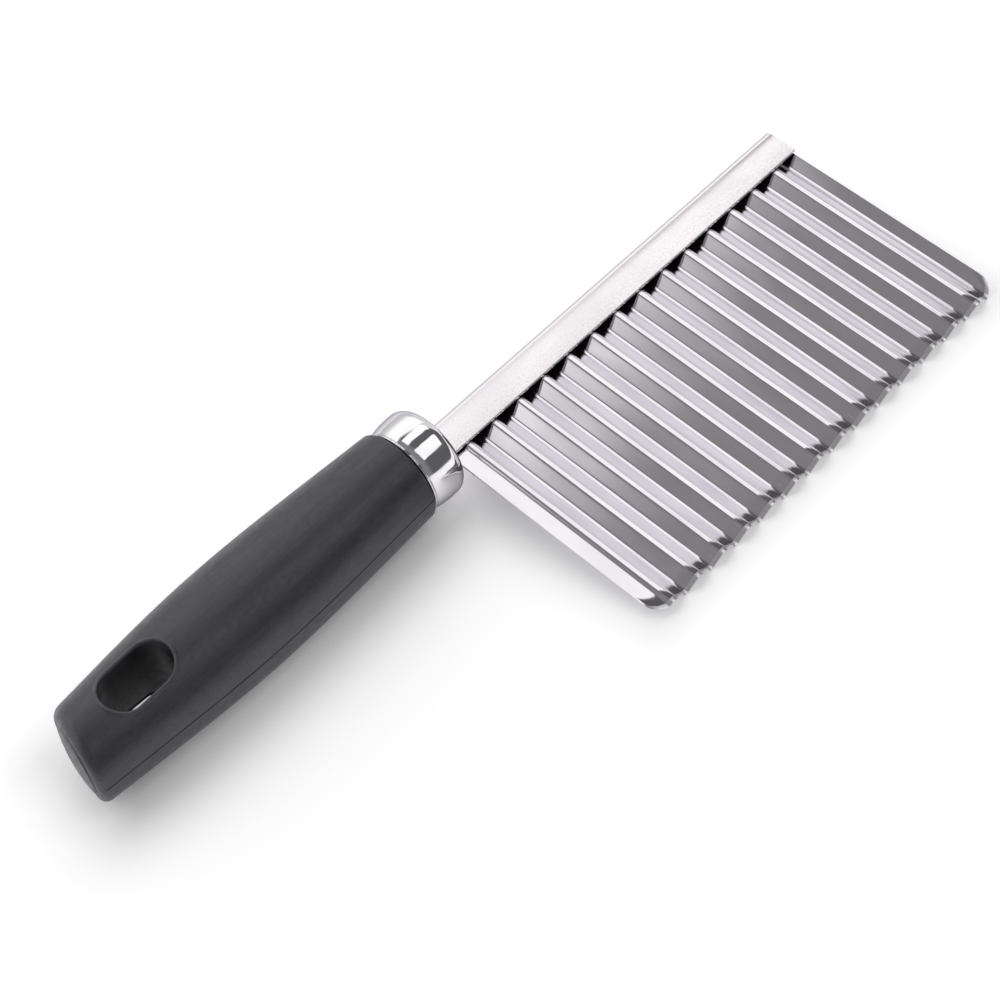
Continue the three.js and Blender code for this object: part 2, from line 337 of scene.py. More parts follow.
def slant_at(x):
    fade = min(1, max(0, (BUTT_RIM_X + BUTT_SLANT_REACH - x) / BUTT_SLANT_REACH))
    return BUTT_SLANT * fade ** 2


def grip_turns(sides):
    """Angles round a section, with three on each parting line: its bottom and its two edges."""
    beside = PARTING_HALF_WIDTH / BELLY_HALF_WIDTH
    lines = (PARTING_TURN, math.pi - PARTING_TURN)
    even = [2 * math.pi * side / sides for side in range(sides)]
    clear = [turn for turn in even if all(abs(turn - line) > PARTING_CLEAR * beside for line in lines)]
    fine = [line + side * beside for line in lines for side in (-1, 0, 1)]
    return sorted(clear + fine)


GRIP_TURNS = grip_turns(GRIP_SIDES)


def oval_ring(x, half_width, half_thickness, parting=0):
    ring = []
    for turn in GRIP_TURNS:
        on_line = turn in (PARTING_TURN, math.pi - PARTING_TURN)
        inset = parting if on_line else 0
        y = (half_width - inset) * math.cos(turn)
        z = (half_thickness - inset) * math.sin(turn)
        ring.append((x + slant_at(x) * y, y, z))
    return ring


def grip_rings():
    rim_inset = BUTT_EDGE_RADIUS * (1 - math.cos(BUTT_EDGE_TURN))
    rim_width = grip_width(BUTT_RIM_X)
    rim_thickness = grip_thickness(BUTT_RIM_X)
    rings = []
    # The domed face of the butt, with its groove
    groove = [FACE_GROOVE_AT + side * FACE_GROOVE_HALF for side in (-1, 0, 1)]
    dome = [share for share in shares(DOME_STEPS)[1:] if share < groove[0]]
    for share in dome + groove:
        depth = FACE_GROOVE_DEPTH if share == FACE_GROOVE_AT else 0
        x = BUTT_RIM_END - BUTT_DOME * (1 - share ** 2) + depth
        rings.append(oval_ring(x, share * (rim_width - rim_inset), share * (rim_thickness - rim_inset)))
    # The rounded rim of the butt
    for share in shares(RIM_STEPS)[:-1]:
        turn = BUTT_EDGE_TURN * (1 - share)
        inset = BUTT_EDGE_RADIUS * (1 - math.cos(turn))
        x = BUTT_RIM_X - BUTT_EDGE_RADIUS * math.sin(turn)
        rings.append(oval_ring(x, rim_width - inset, rim_thickness - inset, PARTING_DEPTH * share))
    # The body
    for share in shares(GRIP_STATIONS):
        x = BUTT_RIM_X + share * (-SHOULDER_EDGE - BUTT_RIM_X)
        rings.append(oval_ring(x, grip_width(x), grip_thickness(x), PARTING_DEPTH))
    # The rounded shoulder
    for share in shares(ROUND_STEPS)[1:]:
        turn = share * math.pi / 2
        x = SHOULDER_EDGE * (math.sin(turn) - 1)
        inset = SHOULDER_EDGE * (1 - math.cos(turn))
        rings.append(oval_ring(x, grip_width(x) - inset, grip_thickness(x) - inset, PARTING_DEPTH))
    # The spigot, rounded at its end
    rings.append(oval_ring(0, SPIGOT_RADIUS, SPIGOT_RADIUS))
    spigot_edge = COLLAR_SHOULDER - COLLAR_WALL - CLEARANCE
    for share in shares(ROUND_STEPS):
        turn = share * math.pi / 2
        radius = SPIGOT_RADIUS - spigot_edge * (1 - math.cos(turn))
        rings.append(oval_ring(SPIGOT_END - spigot_edge * (1 - math.sin(turn)), radius, radius))
    return rings


def stadium(outside):
    """Outline of the hang hole, moved outwards."""
    half_straight = (HOLE_LENGTH - HOLE_WIDTH) / 2
    radius = HOLE_WIDTH / 2 + outside
    right = arc(half_straight, 0, radius, -90, 90, HOLE_STEPS)
    left = arc(-half_straight, 0, radius, 90, 270, HOLE_STEPS)
    straight = [share * 2 * half_straight - half_straight for share in shares(HOLE_STEPS // 2)[1:-1]]
    top = [(-x, radius) for x in straight]
    bottom = [(x, -radius) for x in straight]
    return [(HOLE_X + x, y) for x, y in right + top + left + bottom]


def grip_surface(x, y):
    """Height of the grip's face over one place."""
    station = x
    for _ in range(SURFACE_ROUNDS):
        station = x - slant_at(station) * y
    share = y / grip_width(station)
    return grip_thickness(station) * math.sqrt(max(0, 1 - share ** 2))


def hole_lip(face):
    """A raised bead round the hang hole, on one face of the grip."""
    rim = stadium(LIP_OUTSIDE)
    path = [Vector((x, y, face * (grip_surface(x, y) - LIP_SUNK))) for x, y in rim]
    rings = []
    for place, point in enumerate(path):
        along = (path[(place + 1) % len(path)] - path[place - 1]).normalized()
        across = along.cross(Vector((0, 0, 1))).normalized()
        up = across.cross(along)
        ring = []
        for sideways, upwards in arc(0, 0, LIP_RADIUS, 0, 360, LIP_SIDES)[:-1]:
            ring.append(point + across * sideways + up * upwards)
        rings.append(ring)
    return add_piece("lip", *loft(rings, looped=True))


def build_grip():
    points, faces = loft(grip_rings(), (-GRIP_LENGTH, 0, 0), (SPIGOT_END, 0, 0))
    grip = add_piece("grip_moulding", points, faces)
    outline = stadium(0)
    reach = 2 * BELLY_HALF_THICKNESS
    levels = [reach * (2 * share - 1) for share in shares(HOLE_LEVELS)]
    rings = [[(x, y, z) for x, y in outline] for z in levels]
    combine(grip, add_piece("cutter", *loft(rings, "face", "face")), "DIFFERENCE")
    for face in (1, -1):
        combine(grip, hole_lip(face), "UNION")
    combine(grip, tang_space(-TANG_LENGTH - CLEARANCE, COLLAR_FRONT), "DIFFERENCE")
    gate_mouth = -GRIP_LENGTH - CUT_PAST
    gate_bottom = -GRIP_LENGTH + GATE_DEPTH
    gate = [(0, gate_mouth), (GATE_RADIUS, gate_mouth)]
    gate += [(GATE_TAPER * GATE_RADIUS, gate_bottom), (0, gate_bottom)]
    points, faces = lathe(gate, GATE_SIDES)
    points = [(x + BUTT_SLANT * GATE_Y, y + GATE_Y, z) for x, y, z in points]
    combine(grip, add_piece("cutter", points, faces), "DIFFERENCE")
    return grip


def grip_wear_and_shade(place):
    """How rubbed a place is: most at the rims and the shoulder. Below zero it is painted shade,
    deepening into the hang hole.
    """
    half_straight = (HOLE_LENGTH - HOLE_WIDTH) / 2
    past_straight = max(0, abs(place.x - HOLE_X) - half_straight)
    from_hole = math.hypot(past_straight, place.y) - HOLE_WIDTH / 2
    below = grip_surface(place.x, place.y) - abs(place.z)
    # Inside the hang hole: painted shade that grows darker away from the mouth.
    if from_hole < LIP_OUTSIDE and below > LIP_RADIUS:
        return -smooth(LIP_RADIUS, HOLE_SHADE_DEPTH, below)
    rim = near_edge(HOLE_RIM_WEAR, abs(from_hole)) if abs(place.z) > HOLE_RIM_HEIGHT else 0
    upright = place.x - slant_at(place.x) * place.y
    butt = near_edge(BUTT_RIM_WEAR, abs(upright - BUTT_RIM_END - BUTT_WEAR_FROM_END))
    shoulder = near_edge(SHOULDER_WEAR, abs(place.x))
    return max(rim, BUTT_WEAR_SHARE * butt, SHOULDER_WEAR_SHARE * shoulder)


# Collar


def build_collar():
    bore = COLLAR_RADIUS - COLLAR_WALL
    face_inside = COLLAR_FRONT - COLLAR_WALL
    inside_radius = COLLAR_SHOULDER - COLLAR_WALL
    rim_middle = COLLAR_RADIUS - COLLAR_CROWN + COLLAR_RIM_RISE - COLLAR_RIM
    profile = [(0, face_inside)]
    inside_x = face_inside - inside_radius
    profile += arc(bore - inside_radius, inside_x, inside_radius, 90, 0, COLLAR_BORE_STEPS)
    profile += [(bore, COLLAR_BACK)]
    profile += arc(rim_middle, COLLAR_BACK + COLLAR_RIM, COLLAR_RIM, -90, 60, COLLAR_RIM_STEPS)
    barrel_start = COLLAR_BACK + COLLAR_RIM_SPAN
    barrel_end = COLLAR_FRONT - COLLAR_SHOULDER
    for share in shares(COLLAR_BARREL_STEPS)[:-1]:
        x = barrel_start + share * (barrel_end - barrel_start)
        profile.append((COLLAR_RADIUS - COLLAR_CROWN * (1 - share) ** COLLAR_CROWN_POWER, x))
    shoulder_radius = COLLAR_RADIUS - COLLAR_SHOULDER
    profile += arc(shoulder_radius, barrel_end, COLLAR_SHOULDER, 0, 90, COLLAR_SHOULDER_STEPS)
    profile += [(0, COLLAR_FRONT)]
    collar = add_piece("collar_cap", *lathe(profile, COLLAR_SIDES))
    combine(collar, tang_space(SPIGOT_END, COLLAR_FRONT + COLLAR_WALL), "DIFFERENCE")
    return collar


def collar_wear(place):
    rim = near_edge(COLLAR_RIM_WEAR, place.x - COLLAR_BACK)
    slot_gap = max(abs(place.z) - OUTER_HALF, place.y - CHANNEL_RISE, WALL_BOTTOM - place.y)
    in_front = place.x > COLLAR_FRONT - SLOT_WEAR_DEPTH
    slot = near_edge(COLLAR_SLOT_WEAR, slot_gap) if in_front else 0
    return max(rim, slot)


# Channel


def channel_section():
    """The U, as an outer run over the fold and an inner run back under it."""
    bend_y = CHANNEL_RISE - FOLD_RADIUS
    bend_z = OUTER_HALF - FOLD_RADIUS
    inner_fold = FOLD_RADIUS - CHANNEL_SHEET
    edge = CUT_EDGE_RADIUS
    edge_y = WALL_BOTTOM + edge
    outer = arc(edge_y, -OUTER_HALF + edge, edge, 180, 270, CUT_EDGE_STEPS)
    outer += arc(bend_y, -bend_z, FOLD_RADIUS, 270, 360, FOLD_STEPS)
    outer += arc(bend_y, bend_z, FOLD_RADIUS, 0, 90, FOLD_STEPS)
    outer += arc(edge_y, OUTER_HALF - edge, edge, 90, 180, CUT_EDGE_STEPS)
    inner = arc(edge_y, INNER_HALF + edge, edge, 180, 270, CUT_EDGE_STEPS)
    inner += arc(bend_y, bend_z, inner_fold, 90, 0, FOLD_STEPS)
    inner += arc(bend_y, -bend_z, inner_fold, 0, -90, FOLD_STEPS)
    inner += arc(edge_y, -INNER_HALF - edge, edge, 90, 180, CUT_EDGE_STEPS)
    return outer, inner


def toe_inset(y):
    over = max(0, y - (CHANNEL_RISE - TOE_CORNER))
    return TOE_CORNER - math.sqrt(TOE_CORNER ** 2 - over ** 2)


def build_channel():
    outer, inner = channel_section()
    section = outer + inner
    stations = (-TANG_LENGTH, HEEL_X, TOE_X - 2 * TOE_CORNER)
    rings = [[(x, y, z) for y, z in section] for x in stations]
    rings.append([(TOE_X - toe_inset(y), y, z) for y, z in section])
    points, faces = loft(rings, "face", "face")
    channel = add_piece("channel_strip", points, faces)
    # The faces inside the U take the second material, a near-black colour that paints the shade inside
    # the channel.
    first_inner = len(outer) + CUT_EDGE_STEPS
    last_inner = len(section) - 1 - CUT_EDGE_STEPS
    for polygon in channel.data.polygons:
        sides = {corner % len(section) for corner in polygon.vertices}
        if len(sides) == 2 and all(first_inner <= side <= last_inner for side in sides):
            polygon.material_index = 1
    return channel


def channel_wear(place):
    bottom = near_edge(WALL_EDGE_WEAR, place.y - WALL_BOTTOM)
    toe = near_edge(CHANNEL_TOE_WEAR, TOE_X - place.x)
    return max(bottom, toe)


# Blade

HALF_PITCH = WAVE_PITCH / 2
FLANK_RISE = WAVE_DEPTH - 2 * BEND_RADIUS
FLANK_SPAN = math.hypot(HALF_PITCH, FLANK_RISE)
FLANK_ANGLE = math.atan2(FLANK_RISE, HALF_PITCH) + math.asin(2 * BEND_RADIUS / FLANK_SPAN)
BEND_REACH = BEND_RADIUS * math.sin(FLANK_ANGLE)
HEEL_TURN = math.acos(1 - HEEL_STEP / (2 * BEND_RADIUS))
HEEL_REACH = BEND_RADIUS * math.sin(HEEL_TURN)
HEEL_LEVEL = WAVE_DEPTH / 2 - HEEL_STEP

# Waves of the ripple, out of step with the crests: radians per millimetre along X and Y, and a start
LONG_RIPPLE = (0.11, 0.035, 0.4)
SHORT_RIPPLE = (0.29, -0.06, 2.1)
GROOVE_RIPPLE = (0.71, 0.13, 1.2)
SLOW_RIPPLE = (0.083, -0.05, 0)
SHORT_SHARE = 0.6
GROOVE_SHARE = 0.7


def wave_at(x):
    """Height of the middle of the sheet, and the way it leans, at one place along X."""
    crest_x = FIRST_CREST_X + WAVE_PITCH * round((x - FIRST_CREST_X) / WAVE_PITCH)
    crest_x = max(crest_x, FIRST_CREST_X)
    side = math.copysign(1, x - crest_x)
    from_crest = abs(x - crest_x)
    if side < 0 and crest_x == FIRST_CREST_X and from_crest > HEEL_REACH:
        lean = math.asin(max(0, 2 * HEEL_REACH - from_crest) / BEND_RADIUS)
        return HEEL_LEVEL + BEND_RADIUS * (1 - math.cos(lean)), -lean
    from_valley = HALF_PITCH - from_crest
    if min(from_crest, from_valley) >= BEND_REACH:
        return (HALF_PITCH / 2 - from_crest) * math.tan(FLANK_ANGLE), side * FLANK_ANGLE
    up = 1 if from_crest < from_valley else -1
    lean = math.asin(min(from_crest, from_valley) / BEND_RADIUS)
    return up * (FLANK_RISE / 2 + BEND_RADIUS * math.cos(lean)), side * lean


def wave_stations():
    """Places along X, closest in the bends and the corners."""
    places = [HEEL_X, TOE_X]
    bends = [FIRST_CREST_X + half * HALF_PITCH for half in range(2 * CREST_COUNT + 1)]
    for bend_x in bends:
        for step in range(-BEND_STEPS, BEND_STEPS + 1):
            places.append(bend_x + BEND_RADIUS * math.sin(FLANK_ANGLE * step / BEND_STEPS))
        for step in range(1, FLANK_STEPS):
            places.append(bend_x + BEND_REACH + (HALF_PITCH - 2 * BEND_REACH) * step / FLANK_STEPS)
    heel_bend_x = FIRST_CREST_X - 2 * HEEL_REACH
    places += [heel_bend_x + BEND_RADIUS * math.sin(HEEL_TURN * share) for share in shares(BEND_STEPS)]
    turns = [math.radians(90 * share) for share in shares(CORNER_STEPS)[1:-1]]
    corners = [BLADE_CORNER * (1 - math.cos(turn)) for turn in turns]
    places += [HEEL_X + corner for corner in corners]
    places += [TOE_X - corner for corner in corners]
    inside = sorted(x for x in places if HEEL_X <= x <= TOE_X)
    return [x for step, x in enumerate(inside) if step == 0 or x - inside[step - 1] > CLOSEST_STATIONS]


def edge_at(x):
    inset = max(0, BLADE_CORNER - min(x - HEEL_X, TOE_X - x))
    return -BLADE_REACH + BLADE_CORNER - math.sqrt(BLADE_CORNER ** 2 - inset ** 2)


def ripple(x, y):
    """The slight unevenness that pressing leaves in the sheet."""
    def wave(along, across, start):
        return math.sin(along * x + across * y + start)
    bows = wave(*LONG_RIPPLE) + SHORT_SHARE * wave(*SHORT_RIPPLE)
    grooves = wave(*GROOVE_RIPPLE) * wave(*SLOW_RIPPLE)
    return SHEET_RIPPLE * (bows + GROOVE_SHARE * grooves)


def build_blade():
    places = wave_stations()
    rows = [(share, 0, BLADE_SHEET / 2) for share in shares(BLADE_ROWS)]
    rows.append((1, BEVEL_HEIGHT, EDGE_LAND / 2))
    points = []
    for face in (1, -1):
        for share, drop, half in rows:
            for x in places:
                height, lean = wave_at(x)
                bevel_y = edge_at(x) + BEVEL_HEIGHT
                y = BLADE_TOP + share * (bevel_y - BLADE_TOP) - drop
                offset = face * half
                z = height + offset * math.cos(lean) + ripple(x, y)
                points.append((x + offset * math.sin(lean), y, z))
    count = len(places)
    last_row = len(rows) - 1
    back = len(rows) * count
    faces = []
    for row in range(last_row):
        for place in range(count - 1):
            near = row * count + place
            far = near + count
            faces.append((near, far, far + 1, near + 1))
            faces.append((back + near, back + near + 1, back + far + 1, back + far))
        for place in (0, count - 1):
            near = row * count + place
            faces.append((near, near + count, back + near + count, back + near))
    for place in range(count - 1):
        for near in (place, last_row * count + place):
            faces.append((near, near + 1, back + near + 1, back + near))
    blade = add_piece("blade_sheet", points, faces)
    # The bevels and the edge between them take the second material.
    for polygon in blade.data.polygons:
        rows_used = [corner % back // count for corner in polygon.vertices]
        if rows_used.count(last_row) >= 2:
            polygon.material_index = 1
    return blade


def blade_wear(place):
    x = min(TOE_X, max(HEEL_X, place.x))
    return near_edge(BLADE_EDGE_WEAR, place.y - edge_at(x))


# Materials

PLASTIC_DARK = (0.023, 0.022, 0.032)
PLASTIC_LIGHT = (0.034, 0.032, 0.046)
PLASTIC_STREAK = (0.055, 0.053, 0.068)
PLASTIC_RUBBED = (0.1, 0.098, 0.115)
# Painted shade for the walls of the hang hole
PLASTIC_HOLE_SHADE = (0.006, 0.006, 0.007)
CHROME_CLEAN = (0.86, 0.85, 0.87)
CHROME_SMUDGED = (0.79, 0.78, 0.8)
CHROME_GRIME = (0.3, 0.28, 0.27)
CHROME_EDGE_TINT = (0.4, 0.4, 0.43)
ROLLED_LIGHT = (0.79, 0.755, 0.765)
ROLLED_DARK = (0.73, 0.7, 0.715)
ROLLED_STREAK = (0.66, 0.64, 0.65)
ROLLED_RUBBED = (0.5, 0.48, 0.48)
# Painted shade for the inside of the channel's U
INSIDE_SHADE_DARK = (0.008, 0.008, 0.01)
INSIDE_SHADE_LIGHT = (0.03, 0.028, 0.03)
POLISHED_LIGHT = (0.75, 0.73, 0.765)
POLISHED_DARK = (0.69, 0.67, 0.71)
POLISHED_STREAK = (0.6, 0.59, 0.62)
POLISHED_SCUFF = (0.9, 0.89, 0.9)
GROUND_LIGHT = (0.9, 0.89, 0.9)
GROUND_DARK = (0.68, 0.67, 0.69)
FLOOR_WHITE = (0.95, 0.95, 0.95, 1)
FLOOR_GLOW_COLOR = (1, 1, 1, 1)


class Nodes:
    """A node tree, with short ways to add nodes and to join them."""

    def __init__(self, tree):
        self.tree = tree

    def add(self, kind, inputs=None, **settings):
        node = self.tree.nodes.new("ShaderNode" + kind)
        for key, value in settings.items():
            setattr(node, key, value)
        for key, value in (inputs or {}).items():
            self.feed(node.inputs[key], value)
        return node

    def feed(self, socket, value):
        if isinstance(value, bpy.types.NodeSocket):
            self.tree.links.new(value, socket)
        else:
            socket.default_value = value

    def remap(self, value, source, target):
        """A smooth ramp that takes the source range to the target range."""
        inputs = {"Value": value}
        inputs.update({"From Min": source[0], "From Max": source[1]})
        inputs.update({"To Min": target[0], "To Max": target[1]})
        return self.add("MapRange", inputs, interpolation_type="SMOOTHSTEP").outputs[0]

    def times(self, first, second):
        return self.add("Math", {0: first, 1: second}, operation="MULTIPLY").outputs[0]

    def most(self, first, second):
        return self.add("Math", {0: first, 1: second}, operation="MAXIMUM").outputs[0]


class Paint(Nodes):
    """A material whose nodes read the place of each point on the tool, in millimetres."""

    def __init__(self, name):
        self.material = bpy.data.materials.new(name)
        self.material.use_nodes = True
        super().__init__(self.material.node_tree)
        self.shader = self.tree.nodes["Principled BSDF"]
        self.place = self.add("Attribute", attribute_name="tool").outputs["Vector"]
        self.wear_and_shade = self.add("Attribute", attribute_name="wear_and_shade").outputs["Fac"]

    def noise(self, size, stretch=(1, 1, 1), detail=3, shift=0):
        """Noise whose patches are about this many millimetres across, longer where stretch is more."""
        scale = [1 / (size * factor) for factor in stretch]
        spread = self.add("VectorMath", {0: self.place, 1: scale}, operation="MULTIPLY").outputs[0]
        moved = self.add("VectorMath", {0: spread, 1: (shift, shift, shift)}, operation="ADD").outputs[0]
        return self.add("TexNoise", {"Vector": moved, "Scale": 1.0, "Detail": detail}).outputs[0]

    def blend(self, share, first, second):
        def color(value):
            return value if isinstance(value, bpy.types.NodeSocket) else (*value, 1)
        node = self.add("Mix", {0: share, 6: color(first), 7: color(second)}, data_type="RGBA")
        return node.outputs[2]

    def bump(self, height, depth, under=None):
        """Relief of this many millimetres, laid over another one if there is one under it."""
        inputs = {"Height": height, "Distance": depth * MM, "Strength": 1.0}
        if under:
            inputs["Normal"] = under
        return self.add("Bump", inputs).outputs[0]

    def finish(self, **values):
        names = {name.lower().replace(" ", "_"): name for name in self.shader.inputs.keys()}
        for key, value in values.items():
            if isinstance(value, tuple):
                value = (*value, 1)
            self.feed(self.shader.inputs[names[key]], value)
        return self.material


def plastic_material():
    paint = Paint("black_moulded_plastic")
    cloud = paint.remap(paint.noise(size=11, detail=5), (0.3, 0.7), (0, 1))
    body = paint.blend(cloud, PLASTIC_DARK, PLASTIC_LIGHT)
    flow = paint.noise(size=0.9, stretch=(16, 1, 1), detail=4)
    streaked = paint.blend(paint.remap(flow, (0.45, 0.75), (0, 0.5)), body, PLASTIC_STREAK)
    patchy = paint.remap(paint.noise(size=0.7, detail=5), (0.4, 0.7), (0.1, 0.4))
    worn = paint.times(paint.remap(paint.wear_and_shade, (0, 1), (0, 1)), patchy)
    bare = paint.blend(worn, streaked, PLASTIC_RUBBED)
    # Painted shade: the hang hole's walls darken with depth, in place of the shade inside the hole.
    hole_shade = paint.remap(paint.wear_and_shade, (-1, 0), (1, 0))
    color = paint.blend(hole_shade, bare, PLASTIC_HOLE_SHADE)
    grain = paint.bump(paint.noise(size=0.28, detail=2), depth=0.03)
    sink = paint.bump(paint.noise(size=6, stretch=(2, 1, 1), detail=2), depth=0.12, under=grain)
    marks = paint.bump(flow, depth=0.012, under=sink)
    roughness = paint.remap(paint.noise(size=1.7, detail=5), (0.3, 0.7), (0.36, 0.47))
    return paint.finish(base_color=color, roughness=roughness, normal=marks, specular_ior_level=0.75)


def chrome_material():
    paint = Paint("mirror_plating")
    smudge = paint.noise(size=4, detail=6)
    bright = paint.blend(paint.remap(smudge, (0.35, 0.7), (0, 1)), CHROME_CLEAN, CHROME_SMUDGED)
    patchy = paint.remap(paint.noise(size=0.5, detail=5), (0.35, 0.7), (0, 0.6))
    color = paint.blend(paint.times(paint.wear_and_shade, patchy), bright, CHROME_GRIME)
    roughness = paint.remap(smudge, (0.4, 0.75), (0.05, 0.13))
    lines = paint.bump(paint.noise(size=0.09, stretch=(1, 80, 80), detail=2), depth=0.0012)
    dents = paint.bump(paint.noise(size=2.4, detail=1), depth=0.022, under=lines)
    paint.finish(base_color=color, metallic=1.0, roughness=roughness, normal=dents)
    return paint.finish(specular_tint=CHROME_EDGE_TINT)


def rolled_material():
    paint = Paint("rolled_stainless")
    streak = paint.noise(size=0.1, stretch=(160, 1, 1), detail=3)
    cloud = paint.noise(size=9, stretch=(2, 1, 1), detail=4)
    tone = paint.blend(paint.remap(cloud, (0.3, 0.7), (0, 1)), ROLLED_LIGHT, ROLLED_DARK)
    lined = paint.blend(paint.remap(streak, (0.5, 0.8), (0, 0.5)), tone, ROLLED_STREAK)
    patchy = paint.remap(paint.noise(size=0.4, detail=5), (0.4, 0.7), (0, 0.5))
    color = paint.blend(paint.times(paint.wear_and_shade, patchy), lined, ROLLED_RUBBED)
    roughness = paint.remap(cloud, (0.3, 0.7), (0.1, 0.16))
    lines = paint.bump(streak, depth=0.001)
    return paint.finish(base_color=color, metallic=1.0, roughness=roughness, normal=lines)


# Painted shade: a near-black, dull colour stands for the shade inside the channel's U.
def inside_shade_material():
    paint = Paint("painted_shade_inside")
    scale = paint.noise(size=0.8, stretch=(4, 1, 1), detail=5)
    color = paint.blend(paint.remap(scale, (0.35, 0.7), (0, 1)), INSIDE_SHADE_DARK, INSIDE_SHADE_LIGHT)
    rough = paint.bump(scale, depth=0.02)
    roughness = paint.remap(scale, (0.3, 0.7), (0.5, 0.7))
    return paint.finish(base_color=color, metallic=0.3, roughness=roughness, normal=rough)


def polished_material():
    paint = Paint("polished_stainless")
    streak = paint.noise(size=0.12, stretch=(1, 120, 1), detail=3)
    cloud = paint.noise(size=6, stretch=(1, 3, 1), detail=5)
    tone = paint.blend(paint.remap(cloud, (0.3, 0.7), (0, 1)), POLISHED_LIGHT, POLISHED_DARK)
    lined = paint.blend(paint.remap(streak, (0.5, 0.8), (0, 0.3)), tone, POLISHED_STREAK)
    scratch = paint.noise(size=0.5, stretch=(1, 7, 1), detail=6, shift=7)
    scuff = paint.remap(scratch, (0.6, 0.72), (0, 1))
    color = paint.blend(paint.times(paint.wear_and_shade, scuff), lined, POLISHED_SCUFF)
    roughness = paint.remap(cloud, (0.3, 0.75), (0.08, 0.15))
    lines = paint.bump(streak, depth=0.0012)
    pits = paint.bump(paint.noise(size=0.25, detail=3), depth=0.0006, under=lines)
    return paint.finish(base_color=color, metallic=1.0, roughness=roughness, normal=pits)


def ground_material():
    paint = Paint("ground_edge")
    grind = paint.noise(size=0.07, stretch=(1, 30, 1), detail=4)
    tone = paint.blend(paint.remap(grind, (0.35, 0.7), (0, 1)), GROUND_LIGHT, GROUND_DARK)
    lines = paint.bump(grind, depth=0.012)
    roughness = paint.remap(grind, (0.3, 0.7), (0.24, 0.36))
    return paint.finish(base_color=tone, metallic=1.0, roughness=roughness, normal=lines)


def floor_material():
    """White. Away from the tool it also glows for the camera and in mirrors, and so shows as white. The
    glow fades out towards and under the tool, which paints a shadow round it and keeps the floor under
    the tool dark.
    """
    material = bpy.data.materials.new("floor")
    material.use_nodes = True
    nodes = Nodes(material.node_tree)
    shader = nodes.tree.nodes["Principled BSDF"]
    shader.inputs["Base Color"].default_value = FLOOR_WHITE
    shader.inputs["Roughness"].default_value = 0.9
    shader.inputs["Specular IOR Level"].default_value = 0.1
    shader.inputs["Emission Color"].default_value = FLOOR_GLOW_COLOR
    rays = nodes.add("LightPath").outputs
    mirrored = nodes.most(rays["Is Glossy Ray"], rays["Is Transmission Ray"])
    seen = nodes.most(rays["Is Camera Ray"], mirrored)
    glow = nodes.add("Attribute", attribute_name="glow").outputs["Fac"]
    nodes.feed(shader.inputs["Emission Strength"], nodes.times(seen, glow))
    return material


# Pieces

settle(build_grip(), "grip", [plastic_material()], grip_wear_and_shade)
settle(build_collar(), "collar", [chrome_material()], collar_wear)
settle(build_channel(), "channel", [rolled_material(), inside_shade_material()], channel_wear)
settle(build_blade(), "blade", [polished_material(), ground_material()], blade_wear)

# Floor, light and camera, with lengths in metres

FLOOR_FINE_HALF = 0.3
FLOOR_FINE_STEPS = 120
FLOOR_MIDDLE_REACH = 1
FLOOR_REACH = 4
FLOOR_GLOW = 0.45
# Where the floor's glow starts under the tool and where it is whole; its fading paints a shadow round
# the tool
FLOOR_GLOW_START = -0.018
FLOOR_GLOW_REACH = 0.014
SOFTBOX_X = 0.39
SOFTBOX_HEIGHT = 0.9
SOFTBOX_WIDTH = 0.926
STUDIO_WHITE = (1, 0.985, 1, 1)


def beyond(box, x, y):
    """How far a place on the floor lies outside a box, seen from above, and below zero inside it."""
    low, high = box
    over_x = max(low.x - x, x - high.x)
    over_y = max(low.y - y, y - high.y)
    return math.hypot(max(over_x, 0), max(over_y, 0)) + min(max(over_x, over_y), 0)


def add_floor():
    """A wide sheet, finely divided near the tool. Its glow starts under the tool and grows outwards, so
    a painted shadow lies round and under the tool.
    """
    fine = [-FLOOR_FINE_HALF + 2 * FLOOR_FINE_HALF * share for share in shares(FLOOR_FINE_STEPS)]
    lines = [-FLOOR_REACH, -FLOOR_MIDDLE_REACH] + fine + [FLOOR_MIDDLE_REACH, FLOOR_REACH]
    points = [(x, y, 0) for y in lines for x in lines]
    count = len(lines)
    faces = []
    for row in range(count - 1):
        for place in range(count - 1):
            near = row * count + place
            faces.append((near, near + 1, near + count + 1, near + count))
    mesh = bpy.data.meshes.new("floor")
    mesh.from_pydata(points, [], faces)
    boxes = [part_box(node) for node in ("grip", "collar", "blade")]
    glow = mesh.attributes.new("glow", "FLOAT", "POINT")
    for place, (x, y, _) in enumerate(points):
        gap = min(beyond(box, x, y) for box in boxes)
        # Painted shadow: the glow fades to nothing towards and under the tool's boxes, so the floor
        # round and under the tool stays darker.
        glow.data[place].value = FLOOR_GLOW * smooth(FLOOR_GLOW_START, FLOOR_GLOW_REACH, gap)
    mesh.materials.append(floor_material())
    floor = bpy.data.objects.new("floor", mesh)
    bpy.context.scene.collection.objects.link(floor)


def add_softbox(name, y, depth, power):
    """A lamp overhead that shines straight down, as area lamps do unless they are turned."""
    lamp = bpy.data.lights.new(name, "AREA")
    lamp.shape = "RECTANGLE"
    lamp.size = SOFTBOX_WIDTH
    lamp.size_y = depth
    lamp.energy = power
    softbox = bpy.data.objects.new(name, lamp)
    softbox.location = (SOFTBOX_X, y, SOFTBOX_HEIGHT)
    bpy.context.scene.collection.objects.link(softbox)


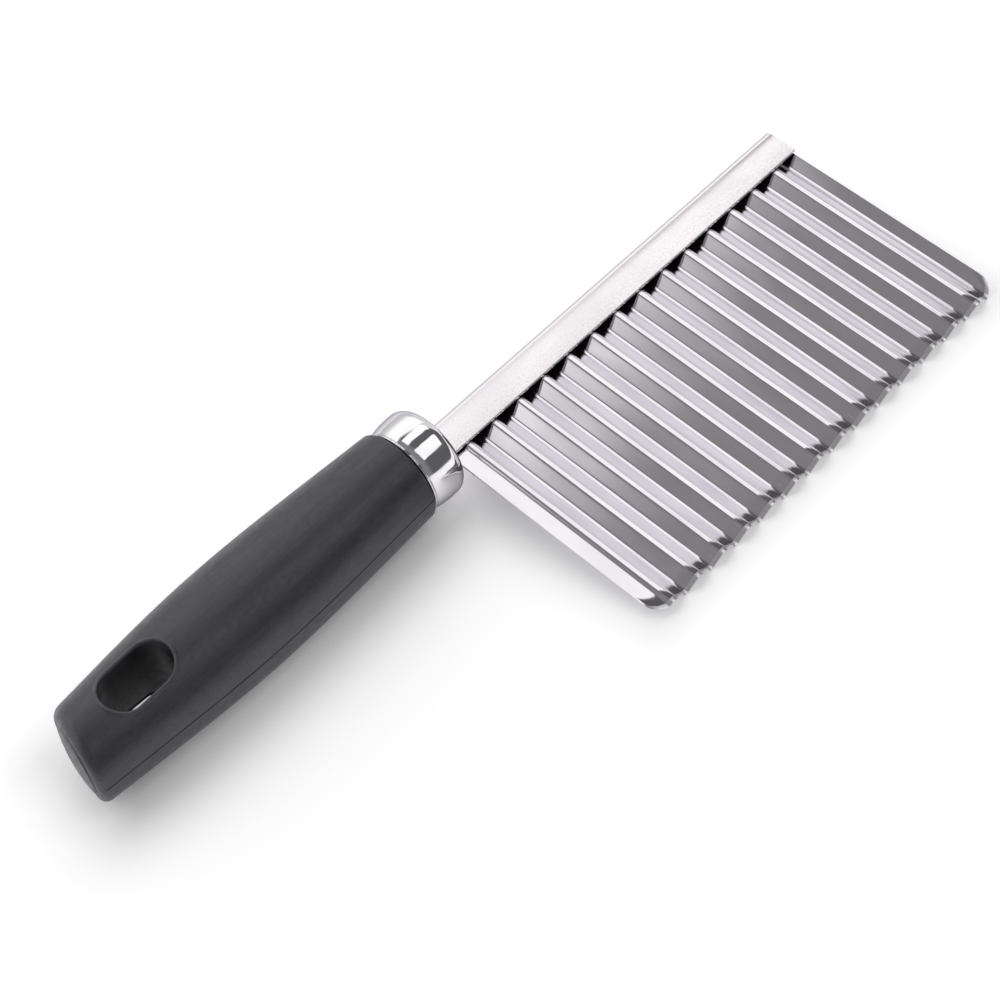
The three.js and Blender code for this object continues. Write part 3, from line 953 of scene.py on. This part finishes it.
def add_world():
    """White walls behind the tool, dimming downwards, and at its two ends, under a dark ceiling."""
    world = bpy.data.worlds.new("studio")
    world.use_nodes = True
    bpy.context.scene.world = world
    nodes = Nodes(world.node_tree)
    direction = nodes.add("TexCoord").outputs["Generated"]
    axes = nodes.add("SeparateXYZ", {0: direction}).outputs
    # Each ramp goes along one axis of the direction, from one strength of light to another.
    ceiling = nodes.remap(axes["X"], (-0.15, 0.05), (0.24, 0.12))
    near_floor = nodes.remap(axes["Z"], (0.03, 0.09), (1, 0))
    horizon = nodes.most(near_floor, ceiling)
    toe_end = nodes.remap(axes["X"], (0.62, 0.72), (0, 0.82))
    toe_side = nodes.remap(axes["Y"], (0.06, 0.13), (0, 1))
    toe_wall = nodes.times(toe_end, toe_side)
    behind = nodes.remap(axes["Y"], (0.26, 0.36), (0, 1.25))
    below_top = nodes.remap(axes["Z"], (0.86, 0.92), (1, 0))
    falling = nodes.remap(axes["Z"], (0.25, 0.6), (0.55, 1))
    back_wall = nodes.times(nodes.times(behind, falling), below_top)
    fading = nodes.remap(axes["Y"], (0.207, 0.277), (0.27, 1.1))
    handle_end = nodes.remap(axes["X"], (-0.484, -0.344), (1, 0))
    handle_wall = nodes.times(fading, handle_end)
    walls = nodes.most(back_wall, nodes.most(toe_wall, handle_wall))
    background = nodes.tree.nodes["Background"]
    background.inputs["Color"].default_value = STUDIO_WHITE
    nodes.feed(background.inputs["Strength"], nodes.most(walls, horizon))


def add_camera():
    """Looks at the tool as the photograph does. Direction and aim are in the tool's own frame."""
    view_from = Vector((-0.37, -0.39, 0.8432)).normalized()
    aim = TOOL @ (Vector((0, -15, 0)) * MM)
    distance = 0.466
    roll = math.radians(-42.1)
    turn = TOOL.to_3x3()
    back = turn @ view_from
    along = turn @ Vector((1, 0, 0))
    along = (along - back * along.dot(back)).normalized()
    across = (-back).cross(along)
    right = math.cos(roll) * along - math.sin(roll) * across
    down = math.sin(roll) * along + math.cos(roll) * across
    lens = bpy.data.cameras.new("camera")
    lens.sensor_width = 36
    lens.lens = 79.2
    lens.shift_x = 0.05
    lens.shift_y = 0.015
    lens.clip_start = 0.01
    camera = bpy.data.objects.new("camera", lens)
    place = Matrix.Translation(aim + back * distance)
    camera.matrix_world = place @ Matrix((right, -down, back)).transposed().to_4x4()
    bpy.context.scene.collection.objects.link(camera)
    bpy.context.scene.camera = camera


add_floor()
add_softbox("back_softbox", y=0.195, depth=0.29, power=0.968)
add_softbox("front_softbox", y=-0.6, depth=0.7, power=2.1)
add_world()
add_camera()
bpy.context.scene.view_settings.view_transform = "Standard"
